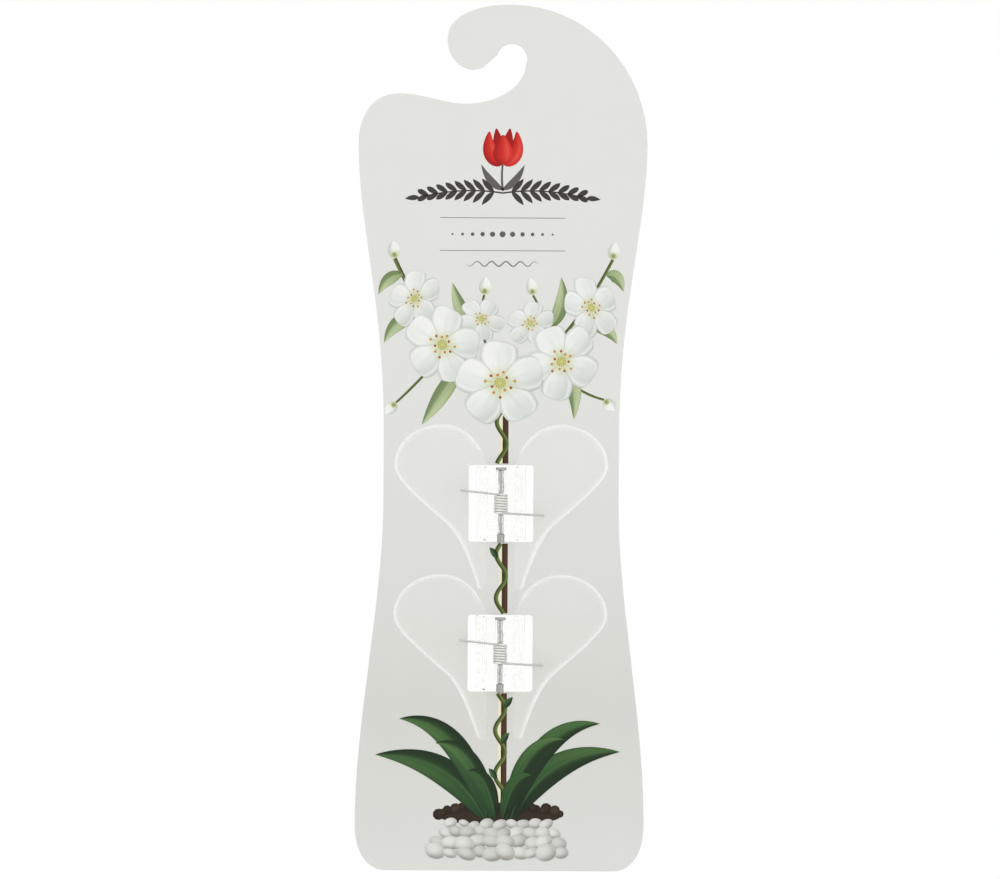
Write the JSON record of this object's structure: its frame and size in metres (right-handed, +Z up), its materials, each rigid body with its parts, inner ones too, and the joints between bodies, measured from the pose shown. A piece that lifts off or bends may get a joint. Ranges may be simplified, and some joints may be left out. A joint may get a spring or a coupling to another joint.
{
  "type": "orchid clip",
  "caption": "Clear plastic spring clips with wing-shaped levers for orchid stems, worn on a waisted hang card with a peg hook.",
  "frame": {"origin": "centre of the card hook's round notch, halfway through the card's thickness", "axes": "+Z up along the hanging card, +Y from the card's printed front to its back, +X to the viewer's right"},
  "size_m": [0.0722, 0.0166, 0.2165],
  "materials": {
    "card": "printed coated card, smooth, soft sheen",
    "clear_plastic": "clear moulded plastic, polished",
    "pin_steel": "drawn steel pin",
    "spring_steel": "bright spring wire"
  },
  "bodies": {
    "card": {"card": "card"},
    "upper_hinge": {"upper_hinge_pin": "pin_steel", "upper_spring": "spring_steel"},
    "upper_right": {"upper_right_wing": "clear_plastic"},
    "upper_left": {"upper_left_wing": "clear_plastic"},
    "lower_hinge": {"lower_hinge_pin": "pin_steel", "lower_spring": "spring_steel"},
    "lower_right": {"lower_right_wing": "clear_plastic"},
    "lower_left": {"lower_left_wing": "clear_plastic"}
  },
  "joints": [
    {"name": "upper_clip_pull", "type": "slide", "parent": "card", "child": "upper_hinge", "axis": [0, -1, 0], "range_m": [0, 0.03]},
    {"name": "upper_right_squeeze", "type": "hinge", "parent": "upper_hinge", "child": "upper_right", "pos_m": [-0.0021, -0.0022, -0.1111], "axis": [0, 0, -1], "range_deg": [0, 27], "stiffness_Nm_per_rad": 0.04, "springref_deg": -20.05, "deforming": ["upper_spring"]},
    {"name": "upper_left_squeeze", "type": "hinge", "parent": "upper_hinge", "child": "upper_left", "pos_m": [-0.0021, -0.0022, -0.1111], "axis": [0, 0, 1], "range_deg": [0, 27], "stiffness_Nm_per_rad": 0.04, "springref_deg": -20.05},
    {"name": "lower_clip_pull", "type": "slide", "parent": "card", "child": "lower_hinge", "axis": [0, -1, 0], "range_m": [0, 0.03]},
    {"name": "lower_right_squeeze", "type": "hinge", "parent": "lower_hinge", "child": "lower_right", "pos_m": [-0.0021, -0.0022, -0.14852], "axis": [0, 0, -1], "range_deg": [0, 27], "stiffness_Nm_per_rad": 0.04, "springref_deg": -20.05, "deforming": ["lower_spring"]},
    {"name": "lower_left_squeeze", "type": "hinge", "parent": "lower_hinge", "child": "lower_left", "pos_m": [-0.0021, -0.0022, -0.14852], "axis": [0, 0, 1], "range_deg": [0, 27], "stiffness_Nm_per_rad": 0.04, "springref_deg": -20.05}
  ],
  "couplings": [
    {"joint": "upper_left_squeeze", "follows": "upper_right_squeeze", "ratio": 1},
    {"joint": "lower_left_squeeze", "follows": "lower_right_squeeze", "ratio": 1}
  ]
}
